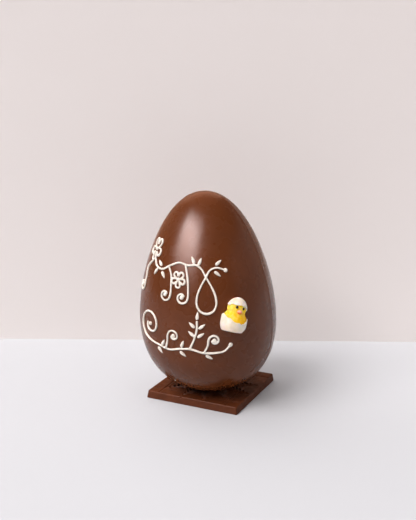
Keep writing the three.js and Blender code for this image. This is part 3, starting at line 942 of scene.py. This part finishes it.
def broken_block(rim, wall_reach, upwards):
    """A round block whose face follows a broken rim, and steps back behind the shell's wall."""
    depth = BLOCK_DEPTH * MM
    bpy.ops.mesh.primitive_cylinder_add(
        vertices=90, radius=BLOCK_RADIUS * MM, depth=depth, end_fill_type="TRIFAN"
    )
    block = start("broken_block")
    face = -1 if upwards else 1
    pick(block, "faces", lambda f: f.normal.z * face > 0.9)
    bpy.ops.mesh.inset(thickness=(BLOCK_RADIUS - wall_reach) * MM)
    bpy.ops.mesh.inset(thickness=WALL_STEP * MM)
    close_piece()
    settle_place(block, Matrix.Translation((0, 0, -face * depth / 2)))
    open_piece(block)
    mesh = bmesh.from_edit_mesh(block.data)
    for corner in mesh.verts:
        if abs(corner.co.z) < HAIR:
            reach = Vector(corner.co[:2]).length
            degrees = math.degrees(math.atan2(corner.co.x, -corner.co.y))
            behind = reach < (wall_reach - WALL_STEP / 2) * MM
            corner.co.z = (rim_height(rim, degrees) + face * WALL_DROP * behind) * MM
    bmesh.update_edit_mesh(block.data)
    close_piece()
    return block


SUGAR_VOXEL = 0.28 * MM
SUGAR_RIPPLE = (5 * MM, 0.25 * MM)


def break_shell(piece, cutter, place, ripples):
    """Breaks a shell along a rim, puts it in its place and gives it a moulded sugar skin."""
    cut_out(piece, cutter)
    settle_place(piece, place)
    melt(piece, SUGAR_VOXEL, rounds=3)
    ripple(piece, ripples, *SUGAR_RIPPLE)
    trim_to_egg(piece)
    report(piece)


print("cup rim from", min(h for _, h in CUP_RIM), "to", max(h for _, h in CUP_RIM), "mm")

# %% Build the lower shell
CUP_BASE, CUP_BASE_RADIUS = -15.6, 9.7
CUP_FOOT_RISE, CUP_RADIUS = 6.5, 12.4
CUP_TOP = 4
CUP_SHIFT = 0.25  # the foot lies this far to the left, and the rim to the right
CUP_WALL = 11.6  # how far out the inner face of the wall lies
RISES = (0.04, 0.2, 0.45, 0.75, 1, 2)  # shares of the rounded foot, and 2 for the wall

bpy.ops.mesh.primitive_circle_add(
    vertices=48,
    radius=CUP_BASE_RADIUS * MM,
    fill_type="NGON",
    location=(-CUP_SHIFT * MM, 0, CUP_BASE * MM),
)
cup = start("chick_cup")
pick_all()
radius, height, across = CUP_BASE_RADIUS, CUP_BASE, -CUP_SHIFT
for share in RISES:
    swell = math.sin(min(share, 1) * math.pi / 2)
    wide = CUP_BASE_RADIUS + (CUP_RADIUS - CUP_BASE_RADIUS) * swell
    aside = CUP_SHIFT * (2 * swell - 1)
    rise = CUP_BASE + CUP_FOOT_RISE * share if share <= 1 else CUP_TOP
    step = ((aside - across) * MM, 0, (rise - height) * MM)
    bpy.ops.mesh.extrude_region_move(TRANSFORM_OT_translate={"value": step})
    middle = (aside * MM, 0, rise * MM)
    stretch((wide / radius, wide / radius, 1), middle)
    radius, height, across = wide, rise, aside
pick_all()
bpy.ops.mesh.normals_make_consistent(inside=False)
close_piece()
settle_place(cup, Matrix.Identity(4))
cup_place = Matrix.Translation((0, CHICK_DEPTH, 0))
break_shell(cup, broken_block(CUP_RIM, CUP_WALL, upwards=True), cup_place, "cup_ripples")

# %% Build the cap on the head
CAP_RADIUS, CAP_TOP = 10, 10.5
CAP_WALL = 7.5
CAP_TAPER = 0.1
HEAD_TILT = math.radians(6)
head_middle = Vector((HEAD_CENTRE[0] * MM, CHICK_DEPTH, HEAD_CENTRE[1] * MM))
head_place = Matrix.Translation(head_middle) @ Matrix.Rotation(HEAD_TILT, 4, "Y")

cap = squashed_ball("chick_cap", 48, 32, MM, (CAP_RADIUS, CAP_RADIUS, CAP_TOP))
for height in ring_heights(cap):
    if height > 0:
        pick_ring(cap, height)
        taper = 1 - CAP_TAPER * height / (CAP_TOP * MM)
        stretch((taper, taper, 1), (0, 0, height))
close_piece()
break_shell(cap, broken_block(CAP_RIM, CAP_WALL, upwards=False), head_place, "cap_ripples")

# %% [markdown]
# The beak is a small pressed pad with a crease for the mouth, and the eyes are dots of dark
# colouring that dried to round domes.

# %% Press the beak and dot the eyes
BEAK_RADII = (2.6, 2.4, 2.1)
BEAK_DROP = 2.7  # mm below the middle of the head
MOUTH = -0.35 * MM  # height of the crease in the beak
MOUTH_REACH, MOUTH_PINCH = 0.25 * MM, (0.9, 0.8, 0.6)
JAW, JAW_PINCH = -0.6 * MM, (0.86, 0.84, 1)
EYE_RADIUS = 1.2
EYE_SHAPE = (0.95, 0.7, 1.08)
EYE_HEIGHT, EYE_SUNK = 1.2, 0.1
EYES = (("chick_eye_dot_left", -24, 1.12), ("chick_eye_dot_right", 20, 1.0))  # name, turn, size


def head_reach(height):
    """How far the head stands out from its upright axis, in millimetres."""
    return HEAD_RADIUS * math.sqrt(1 - (height / HEAD_HALF_HEIGHT) ** 2)


bill = squashed_ball("chick_bill", 24, 16, MM, BEAK_RADII)
pick(bill, "verts", lambda v: abs(v.co.z - MOUTH) < MOUTH_REACH and v.co.y < 0)
stretch(MOUTH_PINCH, (0, 0, MOUTH))
pick(bill, "verts", lambda v: v.co.z < JAW)
stretch(JAW_PINCH, (0, 0, MOUTH))
close_piece()
bill_out = Matrix.Translation((0, -head_reach(BEAK_DROP) * MM, -BEAK_DROP * MM))
settle_place(bill, head_place @ bill_out)
finish_with(bill, "SUBSURF", levels=1, render_levels=1)
report(bill)

eye = squashed_ball("chick_eye_dot", 24, 16, EYE_RADIUS * MM, EYE_SHAPE)
close_piece()
eyes = []
for name, turn, size in EYES:
    twin = copy_of(eye)
    twin.name = twin.data.name = name
    out = Matrix.Translation((0, -(head_reach(EYE_HEIGHT) - EYE_SUNK) * MM, EYE_HEIGHT * MM))
    turned = Matrix.Rotation(math.radians(turn), 4, "Z")
    settle_place(twin, head_place @ turned @ out @ Matrix.Scale(size, 4))
    report(twin)
    eyes.append(twin)
bpy.data.objects.remove(eye)

# %% Stick the chick to the egg
for piece in (flesh, cup, cap, bill, *eyes):
    settle_place(piece, chick_place)
    only(piece)
    bpy.ops.object.shade_smooth()
print("chick stands at", [round(x / MM, 1) for x in chick_place.translation], "mm")

# %% [markdown]
# ## Finishes
#
# All materials read Object coordinates, which are the true place in metres, because each
# piece's place is in its mesh. Effects that several finishes share are node groups: one
# mixes two tones in soft patches, and one gives the fine uneven skin of a casting.

# %% Helpers for materials
def node(tree, kind, place, inputs=None, **settings):
    """Adds a node. An input is given a value, or the socket that it is linked from."""
    made = tree.nodes.new(kind)
    made.location = place
    for name, value in settings.items():
        setattr(made, name, value)
    for title, value in (inputs or {}).items():
        if isinstance(value, bpy.types.NodeSocket):
            tree.links.new(value, made.inputs[title])
        else:
            made.inputs[title].default_value = value
    return made


def new_group(name, inputs, outputs):
    """A shader node group. Inputs and outputs are (name, socket type, value)."""
    tree = bpy.data.node_groups.new(name, "ShaderNodeTree")
    for way, sockets in (("INPUT", inputs), ("OUTPUT", outputs)):
        for title, kind, value in sockets:
            socket = tree.interface.new_socket(title, in_out=way, socket_type=kind)
            if value is not None:
                socket.default_value = value
    entry = node(tree, "NodeGroupInput", (-900, 0))
    leaving = node(tree, "NodeGroupOutput", (700, 0))
    return tree, entry, leaving


def noise_at(tree, entry, scale, place, detail, roughness=0.5):
    """Noise on the group's coordinates, at the scale that a named input of the group gives."""
    inputs = {"Vector": entry.outputs["Vector"], "Scale": entry.outputs[scale]}
    inputs |= {"Detail": detail, "Roughness": roughness}
    return node(tree, "ShaderNodeTexNoise", place, inputs).outputs["Fac"]


def spread(tree, value, place, low, high, to_low=0.0, to_high=1.0):
    """Maps a range of a value to another range, softly."""
    inputs = {"Value": value, "From Min": low, "From Max": high}
    inputs |= {"To Min": to_low, "To Max": to_high}
    mapped = node(tree, "ShaderNodeMapRange", place, inputs, interpolation_type="SMOOTHSTEP")
    return mapped.outputs["Result"]


def mixed_colour(tree, place, amount, first, second):
    inputs = {"Factor": amount, 6: first, 7: second}
    return node(tree, "ShaderNodeMix", place, inputs, data_type="RGBA").outputs[2]


# %% Group: two tones in patches
tones, entry, leaving = new_group(
    "Two Tones",
    [
        ("Vector", "NodeSocketVector", None),
        ("Scale", "NodeSocketFloat", 60.0),
        ("Tone A", "NodeSocketColor", (0.1, 0.1, 0.1, 1)),
        ("Tone B", "NodeSocketColor", (0.2, 0.2, 0.2, 1)),
    ],
    [("Color", "NodeSocketColor", None)],
)
cloud = noise_at(tones, entry, "Scale", (-600, 100), detail=3, roughness=0.55)
mask = spread(tones, cloud, (-350, 100), 0.35, 0.65)
blend = mixed_colour(tones, (100, 0), mask, entry.outputs["Tone A"], entry.outputs["Tone B"])
tones.links.new(blend, leaving.inputs["Color"])
print("group:", tones.name)

# %% Group: the uneven skin of a casting
skin, entry, leaving = new_group(
    "Cast Skin",
    [
        ("Vector", "NodeSocketVector", None),
        ("Coarse Scale", "NodeSocketFloat", 60.0),
        ("Fine Scale", "NodeSocketFloat", 900.0),
        ("Fine Share", "NodeSocketFloat", 0.3),
    ],
    [("Height", "NodeSocketFloat", None), ("Wear", "NodeSocketFloat", None)],
)
coarse = noise_at(skin, entry, "Coarse Scale", (-600, 200), detail=2)
fine = noise_at(skin, entry, "Fine Scale", (-600, -100), detail=4, roughness=0.6)
inputs = {"Factor": entry.outputs["Fine Share"], "A": coarse, "B": fine}
height_mix = node(skin, "ShaderNodeMix", (-200, 100), inputs, data_type="FLOAT")
skin.links.new(height_mix.outputs["Result"], leaving.inputs["Height"])
skin.links.new(spread(skin, coarse, (-200, -200), 0.3, 0.7), leaving.inputs["Wear"])
print("group:", skin.name)


# %% Start a material
def new_material(name, **constants):
    """A material with Object coordinates and constants on the shader's own sockets."""
    material = bpy.data.materials.new(name)
    material.use_nodes = True
    tree = material.node_tree
    shader = tree.nodes["Principled BSDF"]
    for title, value in constants.items():
        shader.inputs[title.replace("_", " ").title().replace("Ior", "IOR")].default_value = value
    coordinates = node(tree, "ShaderNodeTexCoord", (-1400, 0))
    return material, tree, shader, coordinates.outputs["Object"]


def wear(piece, material):
    piece.data.materials.clear()
    piece.data.materials.append(material)


def cast_finish(
    pieces, name, two_tones, patches, skins, roughness, bump=None, turn=None, **constants
):
    """Gives pieces patches of two tones under the skin of a casting.

    patches is their scale, and skins the coarse and fine scale and the fine one's share.
    roughness is its least and most, and bump its strength and depth.
    """
    material, tree, shader, vector = new_material(name, **constants)
    place = turn(tree) if turn else vector
    inputs = {"Vector": place, "Scale": patches, "Tone A": two_tones[0], "Tone B": two_tones[1]}
    colours = node(tree, "ShaderNodeGroup", (-900, 200), inputs, node_tree=tones)
    tree.links.new(colours.outputs["Color"], shader.inputs["Base Color"])
    inputs = dict(zip(("Vector", "Coarse Scale", "Fine Scale", "Fine Share"), (vector, *skins)))
    cast = node(tree, "ShaderNodeGroup", (-900, -200), inputs, node_tree=skin)
    rough = spread(tree, cast.outputs["Wear"], (-250, -100), 0, 1, *roughness)
    tree.links.new(rough, shader.inputs["Roughness"])
    if bump:
        inputs = {"Height": cast.outputs["Height"], "Strength": bump[0], "Distance": bump[1]}
        relief = node(tree, "ShaderNodeBump", (-250, -300), inputs)
        tree.links.new(relief.outputs["Normal"], shader.inputs["Normal"])
    for piece in pieces:
        wear(piece, material)
    print("finish:", name, "on", [piece.name for piece in pieces])
    return tree


def tint(tree, value, low, high, tone, to_low=0.0, to_high=1.0):
    """Turns the base colour to a tone, where a value that changes over the piece says so."""
    base = tree.nodes["Principled BSDF"].inputs["Base Color"]
    amount = spread(tree, value, (-500, 450), low, high, to_low, to_high)
    plain_colour = base.links[0].from_socket
    tree.links.new(mixed_colour(tree, (-300, 300), amount, plain_colour, tone), base)


# %% Milk chocolate of the egg
EGG_TONES = ((0.103, 0.0278, 0.007, 1), (0.117, 0.0315, 0.008, 1))

cast_finish(
    [shell], "milk chocolate", EGG_TONES, patches=22, skins=(70, 150, 0.04),
    roughness=(0.25, 0.3), bump=(0.2, 0.25 * MM), ior=1.33,
)

# %% Milk chocolate of the plaque
PLAQUE_TONES = ((0.075, 0.0185, 0.0042, 1), (0.1, 0.025, 0.006, 1))

cast_finish(
    [plaque], "plaque chocolate", PLAQUE_TONES, patches=90, skins=(160, 900, 0.25),
    roughness=(0.45, 0.58), bump=(0.4, 0.25 * MM), ior=1.22,
)

# %% White chocolate of the piping
WHITE_TONES = ((0.8, 0.76, 0.66, 1), (0.87, 0.84, 0.76, 1))

cast_finish(
    [piping], "white chocolate", WHITE_TONES, patches=250, skins=(500, 2500, 0.3),
    roughness=(0.38, 0.5), bump=(0.3, 0.12 * MM), ior=1.2,
)

# %% Cream sugar of the eggshell
SHELL_TONES = ((0.79, 0.68, 0.55, 1), (0.86, 0.77, 0.68, 1))
TRANSLUCENT = {  # most light enters sugar paste, red spreads farthest, 4 mm
    "subsurface_weight": 0.8,
    "subsurface_radius": (1.0, 0.7, 0.4),
    "subsurface_scale": 0.004,
}

cast_finish(
    [cup, cap], "shell sugar", SHELL_TONES, patches=180, skins=(500, 2600, 0.5),
    roughness=(0.5, 0.65), bump=(0.5, 0.18 * MM), ior=1.2, **TRANSLUCENT,
)

# %% [markdown]
# Its yellow deepens to orange at its lower right, the side away from the light: this is painted
# shade. A Mapping node centres the coordinates on the chick and turns them upright, and the
# place across it then drives the tone.

# %% Yellow sugar of the chick
YELLOW_TONES = ((0.94, 0.58, 0.004, 1), (0.94, 0.7, 0.13, 1))
# Painted shade: the yellow deepens to this orange at the chick's lower right, away from the light.
SHADED_YELLOW = (1.0, 0.5, 0.001, 1)
SHADE_SPAN = (-4 * MM, 14 * MM)  # right less up, from where it starts to its deepest


def chick_coordinates(tree):
    """Coordinates that start in the middle of the chick and stand up with it."""
    to_chick = chick_place.inverted()
    inputs = {
        "Vector": tree.nodes["Texture Coordinate"].outputs["Object"],
        "Location": to_chick.translation,
        "Rotation": to_chick.to_euler(),
    }
    return node(tree, "ShaderNodeMapping", (-1200, 300), inputs).outputs["Vector"]


def chick_axes(tree):
    """The place along each of the chick's own axes, from its middle."""
    return node(tree, "ShaderNodeSeparateXYZ", (-900, 450), {0: chick_coordinates(tree)}).outputs


tree = cast_finish(
    [flesh], "yellow sugar", YELLOW_TONES, patches=230, skins=(420, 2600, 0.4),
    roughness=(0.45, 0.6), bump=(0.5, 0.2 * MM), turn=chick_coordinates, ior=1.15, **TRANSLUCENT,
)
axes = chick_axes(tree)
sides = {0: axes["X"], 1: axes["Z"]}
lower_right = node(tree, "ShaderNodeMath", (-700, 450), sides, operation="SUBTRACT")
# Painted shade: the lower right, away from the light, is tinted to the deeper orange.
tint(tree, lower_right.outputs[0], *SHADE_SPAN, SHADED_YELLOW)

# %% Pink sugar of the beak
PINK_TONES = ((0.88, 0.36, 0.22, 1), (0.92, 0.44, 0.33, 1))
BEAK_UNDERSIDE = (0.86, 0.2, 0.03, 1)
UNDERSIDE = (-1.3, 0.6)  # mm from the beak's middle, from orange to pink

tree = cast_finish(
    [bill], "pink sugar", PINK_TONES, patches=500, skins=(700, 3000, 0.4),
    roughness=(0.4, 0.5), bump=(0.4, 0.1 * MM), ior=1.2,
)
low, high = ((HEAD_CENTRE[1] - BEAK_DROP + reach) * MM for reach in UNDERSIDE)
tint(tree, chick_axes(tree)["Z"], low, high, BEAK_UNDERSIDE, to_low=1.0, to_high=0.0)

# %% Dark dots of the eyes
EYE_TONES = ((0.016, 0.005, 0.006, 1), (0.034, 0.01, 0.012, 1))

cast_finish(
    eyes, "dark sugar", EYE_TONES, patches=900, skins=(900, 3000, 0.3),
    roughness=(0.15, 0.25), ior=1.3,
)

# %% [markdown]
# The floor is a plain matt white, and the wall a plain warm grey. The wall's material turns
# to clear where it is seen from its back.

# %% Floor and wall
FLOOR_COLOUR = (0.49, 0.523, 0.545, 1)
WALL_COLOUR = (0.78, 0.755, 0.735, 1)


def plain(piece, name, colour):
    material, tree, shader, _ = new_material(name, roughness=0.9, base_color=colour)
    wear(piece, material)
    return tree, shader


plain(floor, "white table", FLOOR_COLOUR)
tree, shader = plain(wall, "pale wall", WALL_COLOUR)
clear = node(tree, "ShaderNodeBsdfTransparent", (0, -300))
geometry = node(tree, "ShaderNodeNewGeometry", (0, 300))
choice = {"Fac": geometry.outputs["Backfacing"], 1: shader.outputs[0], 2: clear.outputs[0]}
either = node(tree, "ShaderNodeMixShader", (300, 100), choice)
tree.links.new(either.outputs["Shader"], tree.nodes["Material Output"].inputs["Surface"])
print("materials:", [material.name for material in bpy.data.materials])

# %% [markdown]
# ## Put the pieces on the frame
#
# Each piece rides on the one body and stands for its CAD node, which is hidden, and the name
# of its finish is printed. The shell and the piping both stand for the node egg.

# %% Ride and replace the CAD nodes
dressing = [
    (shell, "egg", "milk_chocolate"),
    (piping, "egg", "white_chocolate"),
    (plaque, "plaque", "plaque_chocolate"),
    (flesh, "chick_body", "yellow_sugar"),
    (cup, "chick_shell_cup", "shell_sugar"),
    (cap, "chick_shell_cap", "shell_sugar"),
    (bill, "chick_beak", "pink_sugar"),
    (eyes[0], "chick_eye_left", "dark_sugar"),
    (eyes[1], "chick_eye_right", "dark_sugar"),
]
for piece, cad_node, finish in dressing:
    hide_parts(cad_node)
    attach(piece, "root")
    print(piece.name, "stands for", cad_node, "and takes", finish)
